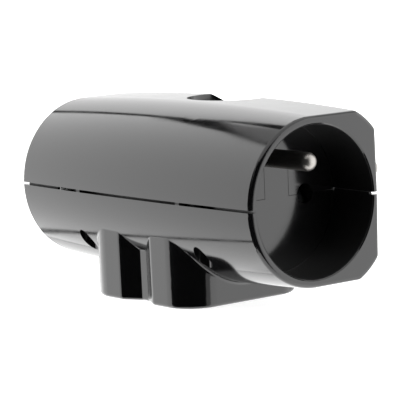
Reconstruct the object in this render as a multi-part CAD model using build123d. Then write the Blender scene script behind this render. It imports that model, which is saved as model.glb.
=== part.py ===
from build123d import *
from math import radians, tan
import os

# A four-way mains adapter. X runs along the barrel, +Y points at the wall that the plug goes into,
# +Z is up, and the origin is the middle of the base's flat underside. All sizes are millimetres.

# Barrel, whose axis lies in the seam between the two shells
seam_z = 28.0
barrel_length = 96.4
end_radius = 21.6
crown_height = 1.45
rear_wall_y = 21.45
rear_draft = 1.1
corner_centre_y = 6.5
corner_centre_rise = 4.85
corner_radius = 18.6
corner_crown = 1.9
corner_bend = 1.8
rim_outer_edge = 1.2
rim_inner_edge = 0.35
wall = 2.1

# Base, two lobes with a shallow groove between them, front and rear
base_half_width = 21.8
base_front_reach = 20.6
base_rear_reach = 20.0
base_corner_radius = 9.1
base_draft = 0.7
base_edge = 1.0
base_wall = 1.9
base_floor = 1.8
junction_radius = 1.0
groove_half_width = 6.5
groove_floor_half_width = 1.3
groove_depth = 2.8
groove_lip_radius = 3.0
groove_root_radius = 0.8

# Thumb dish in the rear of the top
dish_radius = 11.2
dish_y = 13.0
dish_depth = 2.4
dish_floor_radius = 0.6

# Seam, where the shells leave a shadow gap with a lip behind it
seam_gap = 0.7
parting_gap = 0.12
lip_height = 1.8
lip_root = 2.6
lip_thickness = 0.95
lip_clearance = 0.05
rim_lip_thickness = 0.8
rim_lip_setback = 1.6

# Round sockets in the two ends
well_radius = 19.5
well_depth = 15.0
well_floor = 1.8
pin_spacing = 19.0
pin_radius = 2.4
pin_shank_radius = 2.15
pin_length = 19.0
pin_tip_radius = 1.9
pin_seat_depth = 0.4
socket_hole_radius = 2.62
earth_pin_rise = 10.0
earth_pin_tip_gap = 0.8
earth_pin_tip_radius = 2.15
tongue_half_width = 4.0

# Flat sockets in the base, which take a slim two-pin plug from below
outlet_pitch = 21.4
outlet_length = 36.0
outlet_width = 14.4
outlet_chamfer = 4.8
outlet_corner_radius = 1.0
chamfer_angle = 45.0
outlet_depth = 7.5
outlet_floor = 1.6
outlet_wall = 2.3
outlet_pin_spacing = 18.6
outlet_pin_radius = 2.0
outlet_hole_radius = 2.45

# Plug on the rear
boss_radius = 18.6
boss_reach = 16.0
boss_edge = 1.0
boss_core_outer = 17.1
boss_core_inner = 14.9
boss_core_depth = 12.0
neck_radius = 14.0
flange_half_width = 17.0
flange_half_height = 14.8
flange_thickness = 1.6
earth_hole_radius = 2.6
seat_gap = 0.1
fit_gap = 0.05
press_gap = 0.02

# Screws that hold the shells together, driven from below
screw_x = 24.1
screw_y = 17.4
screw_entry_radius = 2.4
screw_seat_drop = 8.5
screw_head_radius = 2.1
screw_head_height = 1.7
screw_slot_width = 0.7
screw_slot_depth = 0.8
screw_shank_radius = 1.2
screw_rise = 7.5
screw_boss_radius = 3.2
screw_pilot_extra = 1.0
screw_boss_rise = 11.0

# Brass parts
strip = 0.8
bar_thickness = 1.0
bar_height = 4.8
bar_drop_gap = 1.6
bar_half_length = 19.6
link_height = 5.6
link_x = -4.2
link_end_x = 1.6
link_turn_y = -8.0
bend_radius = 1.4
sleeve_start_x = 14.7
sleeve_end_x = 22.6
sleeve_slot = 1.2
sleeve_tab_width = 5.6
sleeve_tab_x = 17.0
outlet_sleeve_height = 8.6
outlet_tab_width = 6.2
rivet_radius = 1.0
rivet_head_radius = 1.7
rivet_head_height = 0.6
rivet_head_edge = 0.3
tail_radius = 1.5
tail_head_radius = 1.9
tail_head_height = 0.5
collar_radius = 3.3
collar_height = 0.8
earth_bar_rise = 14.0
earth_bar_half_width = 3.2
earth_tab_drop = 3.2
earth_tab_y = 16.1
earth_collar_radius = 3.5
earth_collar_height = 1.2
earth_socket_radius = 3.2
earth_socket_mouth = 3.5
earth_socket_depth = 15.5
earth_socket_slot = 0.8
earth_socket_slot_length = 11.0

# Shutters that close the contact holes, their springs and the plates behind them
shutter_length = 6.4
shutter_gap = 0.15
shutter_half_span = 12.0
shutter_rise = 4.0
shutter_drop = 6.0
shutter_bridge_half = 6.5
shutter_ramp_low = 3.4
shutter_pocket_depth = 2.1
shutter_nose = 0.7
keeper_thickness = 1.5
keeper_half_width = 13.0
keeper_rise = 7.8
keeper_drop = 11.8
keeper_hole_extra = 0.3
keeper_stop_height = 1.5
keeper_stop_length = 1.7
guide_thickness = 1.5
end_spring_radius = 1.75
end_spring_wire = 0.22
end_spring_turns = 6
end_spring_seat_z = 9.4
spring_pip_height = 1.2
outlet_shutter_width = 5.6
outlet_shutter_height = 5.8
outlet_shutter_half_span = 13.0
outlet_shutter_bridge_half = 6.2
outlet_shutter_bridge_height = 3.4
outlet_shutter_toe = 0.4
outlet_spring_radius = 1.15
outlet_spring_wire = 0.18
outlet_spring_turns = 5
outlet_spring_pocket = 4.8
centre_rib_half = 0.8
centre_block_half = 1.6
rail_thickness = 1.3
outlet_keeper_thickness = 1.4
spring_clearance = 0.3
cradle_x = 20.2
cradle_thickness = 1.6
bar_rib_x = 6.2
bar_rib_thickness = 1.6

# Places that follow from the sizes above
half_length = barrel_length / 2
well_floor_x = half_length - well_depth
partition_x = well_floor_x - well_floor
pin_y = pin_spacing / 2
outlet_x = outlet_pitch / 2
outlet_pin_y = outlet_pin_spacing / 2
earth_z = seam_z + earth_pin_rise
rear_inner_y = rear_wall_y - wall
flange_outer_y = rear_inner_y - fit_gap
flange_inner_y = flange_outer_y - flange_thickness
plug_face_y = rear_wall_y + seat_gap + boss_reach
sleeve_radius = pin_radius + strip
bar_inner_y = pin_y + sleeve_radius
bar_outer_y = bar_inner_y + bar_thickness
bar_bottom_z = seam_z + link_height / 2 + bar_drop_gap
bar_top_z = bar_bottom_z + bar_height
rivet_z = (bar_bottom_z + bar_top_z) / 2
link_y = flange_inner_y - seat_gap - collar_height - strip / 2
shutter_back_x = partition_x - shutter_gap - shutter_length
keeper_front_x = shutter_back_x - shutter_gap
keeper_back_x = keeper_front_x - keeper_thickness
shutter_mid_x = shutter_back_x + shutter_length / 2
outlet_floor_z = outlet_depth + outlet_floor
outlet_shutter_bottom_z = outlet_floor_z + fit_gap
outlet_shutter_top_z = outlet_shutter_bottom_z + outlet_shutter_height
outlet_keeper_z = outlet_shutter_top_z + seat_gap
outlet_sleeve_z = outlet_keeper_z + outlet_keeper_thickness + seat_gap
outlet_shutter_inner_x = outlet_x - outlet_shutter_width / 2
guide_inner_y = shutter_half_span + seat_gap
earth_bar_z = seam_z + earth_bar_rise
beyond = 60.0


def box_between(low, high):
    """Block between two opposite corners."""
    middle = [(a + b) / 2 for a, b in zip(low, high)]
    size = [b - a for a, b in zip(low, high)]
    return Pos(*middle) * Box(*size)


def rod(radius, start, end):
    """Round bar between two points."""
    way = Vector(*end) - Vector(*start)
    base = Plane(origin=start, z_dir=way)
    return base * Cylinder(radius, way.length, align=(Align.CENTER, Align.CENTER, Align.MIN))


def crowned_face(reach, crown, below, length):
    """Flat face under a long shallow arc, drawn from the ends up to the middle of the barrel."""
    half = length / 2
    arc = ThreePointArc((-half, reach), (0, reach + crown), (half, reach))
    rest = Polyline((half, reach), (half, -below), (-half, -below), (-half, reach))
    return make_face([arc, rest])


def crowned_limit(side, reach, crown, length):
    """Everything under the crowned top (side 1) or over the crowned bottom (side -1)."""
    plane = Plane(origin=(0, 0, 0), x_dir=(1, 0, 0), z_dir=(0, -side, 0))
    return extrude(plane * crowned_face(reach, crown, beyond, length), beyond, both=True)


def corner_waste(side, inset, length):
    """What lies outside the bulging surface that takes off a rear corner of the barrel."""
    bulge = revolve(Plane.XZ * crowned_face(corner_radius - inset, corner_crown, 0, length), Axis.X, 360)
    low, high = sorted((0, side * beyond))
    quarter = box_between((-length, 0, low), (length, beyond, high))
    return Pos(0, corner_centre_y, side * corner_centre_rise) * (quarter - bulge)


def barrel(inset, length, bend):
    """Crowned barrel, round in front and squared at the rear, with its axis on the seam."""
    reach = end_radius - inset
    front = revolve(Plane.XZ * crowned_face(reach, crown_height, 0, length), Axis.X, 180)
    rear_y = rear_wall_y - inset
    lean = beyond * tan(radians(rear_draft))
    profile = [(0, beyond), (rear_y - lean, beyond), (rear_y, 0), (rear_y - lean, -beyond), (0, -beyond)]
    rear = extrude(Plane.YZ * make_face(Polyline(*profile, close=True)), length / 2, both=True)
    for side in (1, -1):
        rear &= crowned_limit(side, reach, crown_height, length)
        rear -= corner_waste(side, inset, length)
    if bend > 0:
        long_edges = rear.edges().filter_by(lambda e: e.length > length - seam_gap)
        bends = long_edges.filter_by(lambda e: e.center().Y > rear_y / 2 and abs(e.center().Z) > seam_gap)
        rear = fillet(bends, bend)
    return Pos(0, 0, seam_z) * (front + rear)


def base_outline():
    """Plan of the base at its underside: two lobes with a groove between them, front and rear."""
    groove, root = groove_half_width, groove_floor_half_width
    front, front_root = -base_front_reach, groove_depth - base_front_reach
    rear, rear_root = base_rear_reach, base_rear_reach - groove_depth
    half_front = [(-base_half_width, front), (-groove, front), (-root, front_root)]
    half_rear = [(-base_half_width, rear), (-groove, rear), (-root, rear_root)]
    right_front = [(-x, y) for x, y in reversed(half_front)]
    right_rear = [(-x, y) for x, y in half_rear]
    face = make_face(Polyline(*half_front, *right_front, *right_rear, *reversed(half_rear), close=True))
    halfway = (groove + base_half_width) / 2
    between = (groove + root) / 2
    outer = face.vertices().filter_by(lambda v: abs(v.X) > halfway)
    face = fillet(outer, base_corner_radius)
    lips = face.vertices().filter_by(lambda v: between < abs(v.X) < groove + press_gap)
    face = fillet(lips, groove_lip_radius)
    roots = face.vertices().filter_by(lambda v: abs(v.X) < root + press_gap)
    return fillet(roots, groove_root_radius)


def base_block(inset, bottom_z, edge):
    """Base from its bottom up to the seam, widening upwards by the mould's draft."""
    outline = base_outline()
    if inset > 0:
        outline = offset(outline, -inset)
    lower = Pos(0, 0, bottom_z) * outline
    block = extrude(lower, seam_z - bottom_z, taper=-base_draft)
    if edge > 0:
        block = fillet(block.faces().sort_by(Axis.Z)[0].edges(), edge)
    return block


def outer_body():
    """Whole outside of the two shells, with the base blended into the barrel and rounded rims."""
    tube = barrel(0, barrel_length, corner_bend)
    rims = tube.edges().filter_by(lambda e: abs(abs(e.center().X) - half_length) < press_gap)
    tube = fillet(rims, rim_outer_edge)
    block = base_block(0, 0, base_edge)
    body = tube + block
    return fillet(new_edges(tube, block, combined=body), junction_radius)


def inner_space():
    """Room inside the shells, between the two socket floors and down to the base's floor."""
    tube = barrel(wall, 2 * partition_x, 0)
    return tube + base_block(base_wall, base_floor, 0)


def outlet_outline(grow):
    """Long six-sided plan of a slim plug, with its corners cut at 45 degrees."""
    half_w, half_l = outlet_width / 2 + grow, outlet_length / 2 + grow
    half_turn = radians(chamfer_angle) / 2
    cut = outlet_chamfer + grow * tan(half_turn)
    quarter = [(half_w, half_l - cut), (half_w - cut, half_l)]
    points = quarter + [(-x, y) for x, y in reversed(quarter)]
    points += [(-x, -y) for x, y in quarter] + [(x, -y) for x, y in reversed(quarter)]
    face = make_face(Polyline(*points, close=True))
    return fillet(face.vertices(), outlet_corner_radius)


def at_outlets(shape):
    """Shape repeated at the middle of both flat sockets."""
    return [Pos(side * outlet_x, 0, 0) * shape for side in (-1, 1)]


def rear_of(shape):
    """Mirror image on the other side of the barrel's upright middle plane."""
    return mirror(shape, about=Plane.XZ)


def left_of(shape):
    """Mirror image at the other end."""
    return mirror(shape, about=Plane.YZ)


def opposite_of(shape):
    """Shape turned half a turn, so that it stands at the other end and on the other side."""
    return Rot(0, 0, 180) * shape


def both_ends(shape):
    """Shape at the +X end and its mirror image at the other."""
    return [shape, left_of(shape)]


def four_ways(shape):
    """Shape in one quarter and its images in the other three."""
    return [shape, left_of(shape), rear_of(shape), opposite_of(shape)]


def well_and_holes():
    """What both round sockets take out of the body: well, contact holes and earth pin hole."""
    well = rod(well_radius, (well_floor_x, 0, seam_z), (half_length + wall, 0, seam_z))
    cuts = [well]
    for side in (-1, 1):
        start = (partition_x - wall, side * pin_y, seam_z)
        cuts.append(rod(socket_hole_radius, start, (well_floor_x + wall, side * pin_y, seam_z)))
    start = (partition_x - wall, 0, earth_z)
    cuts.append(rod(pin_shank_radius + fit_gap, start, (well_floor_x + wall, 0, earth_z)))
    return [cut for shape in cuts for cut in both_ends(shape)]


def parting_zone(is_lower):
    """Space that one shell may fill: the seam steps round the earth pin on the socket floors."""
    gap = seam_gap / 2
    if is_lower:
        zone = box_between((-beyond, -beyond, -beyond), (beyond, beyond, seam_z - gap))
    else:
        zone = box_between((-beyond, -beyond, seam_z + gap), (beyond, beyond, 2 * beyond))
    disc = rod(well_radius, (partition_x, 0, seam_z), (well_floor_x, 0, seam_z))
    half = tongue_half_width - parting_gap / 2 if is_lower else tongue_half_width + parting_gap / 2
    shift = -parting_gap / 2 if is_lower else parting_gap / 2
    tongue = box_between((0, -half, seam_z - wall), (beyond, half, earth_z + shift))
    if is_lower:
        half_disc = disc & box_between((0, -beyond, -beyond), (beyond, beyond, seam_z + shift))
        floor_part = half_disc + (disc & tongue)
    else:
        floor_part = (disc & box_between((0, -beyond, seam_z + shift), (beyond, beyond, beyond))) - tongue
    for part in both_ends(floor_part):
        zone += part
    if not is_lower:
        for part in both_ends(tongue & disc):
            zone -= part
    return zone


def split_rims(shell):
    """Small break on the inner edge of both rims."""
    edges = shell.edges().filter_by(GeomType.CIRCLE)
    rims = edges.filter_by(
        lambda e: abs(abs(e.center().X) - half_length) < press_gap and abs(e.radius - well_radius) < press_gap
    )
    return chamfer(rims, rim_inner_edge)


def hollow_body(outside, inside):
    """Body with its room and both wells cut out, still in one piece."""
    body = outside - inside
    for cut in well_and_holes():
        body -= cut
    return body


def rear_opening():
    """Round opening in the rear wall that the plug's neck stands in."""
    return rod(neck_radius + fit_gap, (0, rear_inner_y - wall, seam_z), (0, rear_wall_y + wall, seam_z))


def guide_rib(low_z, high_z):
    """Wall beside a round socket's shutter, slotted for the plate behind it."""
    rib = box_between(
        (cradle_x, guide_inner_y, low_z), (partition_x + press_gap, guide_inner_y + guide_thickness, high_z)
    )
    slot_low = max(low_z, seam_z - keeper_drop - fit_gap)
    slot = box_between((keeper_back_x - fit_gap, 0, slot_low), (keeper_front_x + fit_gap, beyond, high_z))
    sleeve = rod(sleeve_radius + fit_gap, (0, pin_y, seam_z), (sleeve_end_x + fit_gap, pin_y, seam_z))
    return rib - slot - sleeve


def sleeve_cradle(low_z, high_z):
    """Cross wall with round seats for the two contact sleeves of one end."""
    rib = box_between((cradle_x, -beyond, low_z), (cradle_x + cradle_thickness, beyond, high_z))
    for side in (-1, 1):
        y = side * pin_y
        rib -= rod(sleeve_radius + fit_gap, (0, y, seam_z), (beyond, y, seam_z))
    return rib


def lip(inside):
    """Ledge inside the seam that hides the inside of the adapter behind the shadow gap."""
    low, high = seam_z - seam_gap / 2 - lip_root, seam_z + lip_height
    reach = 2 * (cradle_x - fit_gap)
    outer = barrel(wall + lip_clearance, reach, 0)
    ring = outer - barrel(wall + lip_clearance + lip_thickness, reach + wall, 0)
    ring &= box_between((-beyond, -beyond, low), (beyond, beyond, high))
    foot = (inside & barrel(0, reach, 0)) - barrel(wall + lip_clearance + lip_thickness, reach + wall, 0)
    foot &= box_between((-beyond, -beyond, low), (beyond, beyond, seam_z - seam_gap / 2))
    behind_plug = box_between((-beyond, flange_inner_y - wall, low), (beyond, beyond, high))
    return (ring + foot) - behind_plug


def rim_lip():
    """Thin ledge that closes the seam along a round socket's wall and stops short of its rim."""
    start_x, end_x = well_floor_x + parting_gap, half_length - rim_lip_setback
    start, end = (start_x, 0, seam_z), (end_x, 0, seam_z)
    ring = rod(well_radius + rim_lip_thickness, start, end) - rod(well_radius, start, end)
    low, high = seam_z - seam_gap, seam_z + seam_gap / 2 - parting_gap
    return ring & box_between((0, -beyond, low), (beyond, beyond, high))


def end_spring_seat():
    """Boss with a pip that holds the foot of a round socket's shutter spring."""
    x = shutter_mid_x
    radius = end_spring_radius + end_spring_wire + spring_clearance
    pip = end_spring_radius - end_spring_wire - spring_clearance
    boss = rod(radius, (x, 0, 0), (x, 0, end_spring_seat_z))
    return boss + rod(pip, (x, 0, 0), (x, 0, end_spring_seat_z + spring_pip_height))


def outlet_fittings():
    """Rails, stops and middle rib on the floor of the flat sockets."""
    rail_y = outlet_shutter_half_span + seat_gap
    outer_x = outlet_shutter_inner_x + outlet_shutter_width + fit_gap
    rail_end = outer_x + rail_thickness
    parts = []
    for side in (-1, 1):
        low, high = sorted((side * rail_y, side * (rail_y + rail_thickness)))
        parts.append(box_between((-rail_end, low, base_floor), (rail_end, high, outlet_keeper_z)))
        x_low, x_high = sorted((side * outer_x, side * rail_end))
        stop_top = outlet_shutter_bottom_z + outlet_shutter_bridge_height
        parts.append(box_between((x_low, -rail_y, outlet_floor_z - outlet_floor), (x_high, rail_y, stop_top)))
    for half, top in ((centre_rib_half, outlet_keeper_z), (centre_block_half, outlet_floor_z)):
        parts.append(box_between((-half, -rail_y, base_floor - press_gap), (half, rail_y, top)))
    return parts


def lower_shell(outside, inside):
    """Lower half of the barrel and the base, with its ribs, bosses and plug recesses."""
    shell = hollow_body(outside, inside) & parting_zone(True)
    below_seam = seam_z - parting_gap / 2
    features = [extrude(s, outlet_floor_z) for s in at_outlets(outlet_outline(outlet_wall))]
    features += outlet_fittings()
    features += both_ends(sleeve_cradle(0, below_seam))
    features += four_ways(guide_rib(0, below_seam))
    features += both_ends(end_spring_seat())
    features += four_ways(rod(screw_boss_radius, (screw_x, screw_y, 0), (screw_x, screw_y, seam_z)))
    features += [lip(inside)]
    reach = outside & box_between((-partition_x, -beyond, 0), (partition_x, beyond, 2 * beyond))
    for feature in features:
        shell += feature & reach
    for ledge in both_ends(rim_lip()):
        shell += ledge
    for recess in at_outlets(outlet_outline(0)):
        shell -= extrude(recess, outlet_depth)
    for side in (-1, 1):
        hole = rod(outlet_hole_radius, (0, side * outlet_pin_y, 0), (0, side * outlet_pin_y, outlet_floor_z + wall))
        for cut in at_outlets(hole):
            shell -= cut
    seat_z = seam_z - screw_seat_drop
    for cut in four_ways(rod(screw_entry_radius, (screw_x, screw_y, 0), (screw_x, screw_y, seat_z))):
        shell -= cut
    clearance = screw_shank_radius + seat_gap
    for cut in four_ways(rod(clearance, (screw_x, screw_y, 0), (screw_x, screw_y, seam_z + wall))):
        shell -= cut
    return split_rims(shell - rear_opening())


def bar_rib():
    """Rib under the roof that straddles a contact bar."""
    low_x, high_x = bar_rib_x - bar_rib_thickness / 2, bar_rib_x + bar_rib_thickness / 2
    inner_y, outer_y = bar_inner_y - bar_rib_thickness, bar_outer_y + bar_rib_thickness
    rib = box_between((low_x, inner_y, bar_bottom_z), (high_x, outer_y, 2 * beyond))
    return rib - box_between((0, bar_inner_y - fit_gap, 0), (beyond, bar_outer_y + fit_gap, bar_top_z + fit_gap))


def upper_shell(outside, inside):
    """Upper half of the barrel with the thumb dish, its ribs and the screw bosses."""
    shell = hollow_body(outside, inside) & parting_zone(False)
    above_seam = seam_z + parting_gap / 2
    roof_z = seam_z + end_radius + crown_height
    dish_floor_z = roof_z - dish_depth
    strap_notch = box_between(
        (0, -earth_bar_half_width - fit_gap, 0), (beyond, earth_bar_half_width + fit_gap, earth_bar_z + strip)
    )
    features = both_ends(sleeve_cradle(above_seam, 2 * beyond) - strap_notch)
    features += four_ways(guide_rib(above_seam, 2 * beyond))
    features += four_ways(bar_rib())
    features += [rod(dish_radius + wall, (0, dish_y, dish_floor_z - wall), (0, dish_y, roof_z))]
    boss_top = seam_z + screw_boss_rise
    features += four_ways(rod(screw_boss_radius, (screw_x, screw_y, seam_z), (screw_x, screw_y, boss_top)))
    reach = outside & box_between((-partition_x, -beyond, 0), (partition_x, beyond, 2 * beyond))
    for feature in features:
        shell += feature & reach
    dish = rod(dish_radius, (0, dish_y, dish_floor_z), (0, dish_y, roof_z + wall))
    shell -= fillet(dish.edges().sort_by(Axis.Z)[0:1], dish_floor_radius)
    pilot = screw_shank_radius + fit_gap
    pilot_top = seam_z + screw_rise + screw_pilot_extra
    for cut in four_ways(rod(pilot, (screw_x, screw_y, 0), (screw_x, screw_y, pilot_top))):
        shell -= cut
    return split_rims(shell - rear_opening())


def plug_body():
    """Round plug with a neck and a flange that the two shells hold between them."""
    boss_y = rear_wall_y + seat_gap
    boss = rod(boss_radius, (0, boss_y, seam_z), (0, plug_face_y, seam_z))
    face_edges = boss.edges().filter_by(lambda e: abs(e.center().Y - plug_face_y) < press_gap)
    boss = fillet(face_edges, boss_edge)
    core = rod(boss_core_outer, (0, boss_y, seam_z), (0, boss_y + boss_core_depth, seam_z))
    core -= rod(boss_core_inner, (0, boss_y, seam_z), (0, boss_y + boss_core_depth, seam_z))
    neck = rod(neck_radius, (0, flange_outer_y - press_gap, seam_z), (0, boss_y + press_gap, seam_z))
    flange = rod(flange_half_width, (0, flange_inner_y, seam_z), (0, flange_outer_y, seam_z))
    flange &= box_between((-beyond, 0, seam_z - flange_half_height), (beyond, beyond, seam_z + flange_half_height))
    flange &= barrel(wall + fit_gap, 2 * partition_x, 0)
    body = (boss - core) + neck + flange
    seat_y = plug_face_y - pin_seat_depth
    for x in (-pin_y, pin_y):
        body -= rod(pin_shank_radius + press_gap, (x, 0, seam_z), (x, seat_y, seam_z))
        body -= rod(pin_radius + press_gap, (x, seat_y, seam_z), (x, beyond, seam_z))
    mouth_y = plug_face_y - earth_socket_mouth
    body -= rod(earth_hole_radius, (0, 0, earth_z), (0, beyond, earth_z))
    return body - rod(earth_socket_radius + press_gap, (0, 0, earth_z), (0, mouth_y, earth_z))


def plug_pin(x, tail_y):
    """Solid pin of the plug on a thinner shank, its collar, and a tail peened over behind a strip."""
    tip_y = plug_face_y + pin_length
    pin = rod(pin_radius, (x, plug_face_y, seam_z), (x, tip_y, seam_z))
    tip = pin.edges().filter_by(lambda e: abs(e.center().Y - tip_y) < press_gap)
    pin = fillet(tip, pin_tip_radius)
    pin += rod(pin_shank_radius, (x, tail_y + strip, seam_z), (x, plug_face_y, seam_z))
    collar_y = flange_inner_y - press_gap
    pin += rod(collar_radius, (x, collar_y - collar_height, seam_z), (x, collar_y, seam_z))
    pin += rod(tail_radius, (x, tail_y, seam_z), (x, tail_y + strip, seam_z))
    return pin + rod(tail_head_radius, (x, tail_y - tail_head_height, seam_z), (x, tail_y, seam_z))


def split_sleeve(radius, length, slot):
    """Rolled contact sleeve along Z from the origin, with its slot facing +X and a flared mouth."""
    sleeve = Cylinder(radius + strip, length, align=(Align.CENTER, Align.CENTER, Align.MIN))
    bore = Cylinder(radius, length, align=(Align.CENTER, Align.CENTER, Align.MIN))
    sleeve -= bore
    mouth = sleeve.edges().filter_by(GeomType.CIRCLE).filter_by(lambda e: abs(e.radius - radius) < press_gap)
    sleeve = chamfer(mouth.sort_by(Axis.Z)[0:1], strip / 2)
    return sleeve - box_between((0, -slot / 2, 0), (radius + 2 * strip, slot / 2, length))


def end_contact():
    """Contact of a round socket, at the right end in front: a sleeve along X with a riveted tab."""
    sleeve = split_sleeve(pin_radius, sleeve_end_x - sleeve_start_x, sleeve_slot)
    placed = Plane(origin=(sleeve_end_x, -pin_y, seam_z), x_dir=(0, 1, 0), z_dir=(-1, 0, 0)) * sleeve
    half = sleeve_tab_width / 2
    tab_low = (sleeve_tab_x - half, -bar_inner_y, seam_z)
    tab = box_between(tab_low, (sleeve_tab_x + half, strip - bar_inner_y, bar_top_z))
    hole = rod(rivet_radius + press_gap, (sleeve_tab_x, -beyond, rivet_z), (sleeve_tab_x, beyond, rivet_z))
    return placed + tab - hole


def outlet_contact(with_pin_hole):
    """Contact of a flat socket, on the right in front: an upright sleeve with a long tab."""
    sleeve = split_sleeve(outlet_pin_radius, outlet_sleeve_height, sleeve_slot)
    placed = Pos(outlet_x, -outlet_pin_y, outlet_sleeve_z) * Rot(0, 0, 90) * sleeve
    half = outlet_tab_width / 2
    tab_low = (outlet_x - half, -bar_inner_y, outlet_sleeve_z + strip)
    tab = box_between(tab_low, (outlet_x + half, strip - bar_inner_y, bar_top_z))
    tab -= rod(rivet_radius + press_gap, (outlet_x, -beyond, rivet_z), (outlet_x, beyond, rivet_z))
    if with_pin_hole:
        tab -= rod(tail_radius + press_gap, (pin_y, -beyond, seam_z), (pin_y, beyond, seam_z))
    return placed + tab


def rivet_places():
    """X of each rivet on a bar, one for each contact."""
    return [side * x for side in (-1, 1) for x in (outlet_x, sleeve_tab_x)]


def link_rivet_x():
    """X of the rivet that joins the link to the front bar."""
    return (link_x + link_end_x) / 2 + strip


def contact_bar(places):
    """Front brass bar with a rivet hole at each place."""
    bar = box_between(
        (-bar_half_length, -bar_outer_y, bar_bottom_z), (bar_half_length, -bar_inner_y, bar_top_z)
    )
    for x in places:
        bar -= rod(rivet_radius + press_gap, (x, -beyond, rivet_z), (x, 0, rivet_z))
    return bar


def contact_rivets():
    """Rivets that join the contacts and the link to their bars."""
    x_places = [(x, -1) for x in rivet_places() + [link_rivet_x()]] + [(x, 1) for x in rivet_places()]
    rivets = []
    for x, side in x_places:
        inner, outer = bar_inner_y - strip, bar_outer_y
        body = rod(rivet_radius, (x, side * inner, rivet_z), (x, side * outer, rivet_z))
        for face, way in ((inner, -side), (outer, side)):
            y = side * face
            head = rod(rivet_head_radius, (x, y, rivet_z), (x, y + way * rivet_head_height, rivet_z))
            far = y + way * rivet_head_height
            rim = head.edges().filter_by(lambda e: abs(e.center().Y - far) < press_gap)
            body += chamfer(rim, rivet_head_edge)
        rivets.append(body)
    return Compound(children=rivets)


def live_link():
    """Bent strip that takes the live pin of the plug under the rear bar to the front bar."""
    far_y, near_y = link_y, strip / 2 - bar_inner_y
    start_x = -pin_y - collar_radius
    path = FilletPolyline(
        (start_x, far_y), (link_x, far_y), (link_x, near_y), (link_end_x, near_y), radius=bend_radius
    )
    plan = trace(path, strip)
    low_z, mid_z = seam_z - link_height / 2, seam_z + link_height / 2
    link = extrude(Pos(0, 0, low_z) * plan, bar_top_z - low_z)
    link -= box_between((-beyond, link_turn_y, mid_z), (beyond, beyond, beyond))
    hole_x = link_rivet_x()
    link -= rod(rivet_radius + press_gap, (hole_x, -beyond, rivet_z), (hole_x, 0, rivet_z))
    return link - rod(tail_radius + press_gap, (-pin_y, 0, seam_z), (-pin_y, beyond, seam_z))


def bent_strap(points, plane, half_width):
    """Strip of bar thickness along a bent path, centred on its plane."""
    path = FilletPolyline(*points, radius=bend_radius)
    return extrude(plane * trace(path, bar_thickness), half_width, both=True)


def earth_bar():
    """Earth strap along the roof, turned down to both earth pins and to the plug's earth contact."""
    end_x = partition_x - seat_gap - earth_collar_height - bar_thickness / 2
    tab_z = earth_z - earth_tab_drop
    long_path = [(-end_x, tab_z), (-end_x, earth_bar_z), (end_x, earth_bar_z), (end_x, tab_z)]
    strap = bent_strap(long_path, Plane.XZ, earth_bar_half_width)
    branch_path = [(0, earth_bar_z), (earth_tab_y, earth_bar_z), (earth_tab_y, tab_z)]
    strap += bent_strap(branch_path, Plane.YZ, earth_bar_half_width)
    strap -= rod(tail_radius + press_gap, (-beyond, 0, earth_z), (beyond, 0, earth_z))
    return strap - rod(tail_radius + press_gap, (0, earth_tab_y - wall, earth_z), (0, beyond, earth_z))


def earth_pin():
    """Earth pin of the right-hand round socket, with a shoulder and a collar that grip its floor."""
    tip_x = half_length - earth_pin_tip_gap
    collar_x = partition_x - seat_gap / 2
    pin = rod(pin_radius, (well_floor_x, 0, earth_z), (tip_x, 0, earth_z))
    tip = pin.edges().filter_by(lambda e: abs(e.center().X - tip_x) < press_gap)
    pin = fillet(tip, earth_pin_tip_radius)
    pin += rod(pin_shank_radius, (collar_x, 0, earth_z), (well_floor_x, 0, earth_z))
    strap_x = partition_x - seat_gap - earth_collar_height
    pin += rod(earth_collar_radius, (strap_x, 0, earth_z), (collar_x, 0, earth_z))
    tail_x = strap_x - bar_thickness
    pin += rod(tail_radius, (tail_x, 0, earth_z), (strap_x, 0, earth_z))
    return pin + rod(tail_head_radius, (tail_x - tail_head_height, 0, earth_z), (tail_x, 0, earth_z))


def plug_earth_socket():
    """Turned socket that takes the wall's earth pin, split by four slots, its tail peened over."""
    start_y = earth_tab_y + bar_thickness / 2
    mouth_y = plug_face_y - earth_socket_mouth - seat_gap
    socket = rod(earth_socket_radius, (0, start_y, earth_z), (0, mouth_y, earth_z))
    socket -= rod(pin_radius + press_gap, (0, mouth_y - earth_socket_depth, earth_z), (0, mouth_y, earth_z))
    half = earth_socket_slot / 2
    low_y = mouth_y - earth_socket_slot_length
    reach = earth_socket_radius
    socket -= box_between((-half, low_y, earth_z - reach), (half, mouth_y, earth_z + reach))
    socket -= box_between((-reach, low_y, earth_z - half), (reach, mouth_y, earth_z + half))
    tail_y = earth_tab_y - bar_thickness / 2
    socket += rod(tail_radius, (0, tail_y, earth_z), (0, start_y, earth_z))
    return socket + rod(tail_head_radius, (0, tail_y - tail_head_height, earth_z), (0, tail_y, earth_z))


def end_shutter():
    """Shutter of the right-hand round socket: two ramps that the pins push down together."""
    front_x, back_x = partition_x - shutter_gap, shutter_back_x
    top, bottom = seam_z + shutter_rise, seam_z - shutter_drop
    ramp_low = seam_z - shutter_ramp_low
    profile = [(back_x, bottom), (front_x, bottom), (front_x, ramp_low), (back_x + shutter_nose, top), (back_x, top)]
    side = Plane.XZ * make_face(Polyline(*profile, close=True))
    shutter = extrude(side, shutter_half_span, both=True)
    middle_z = seam_z - shutter_ramp_low + spring_clearance
    half = shutter_bridge_half
    shutter -= box_between((0, -half, middle_z), (beyond, half, beyond))
    pocket = end_spring_radius + end_spring_wire + spring_clearance
    x = shutter_mid_x
    return shutter - rod(pocket, (x, 0, bottom - wall), (x, 0, end_spring_top()))


def end_spring_top():
    """Height of the upper end of a round socket's shutter spring."""
    return seam_z - shutter_drop + shutter_pocket_depth


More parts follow.
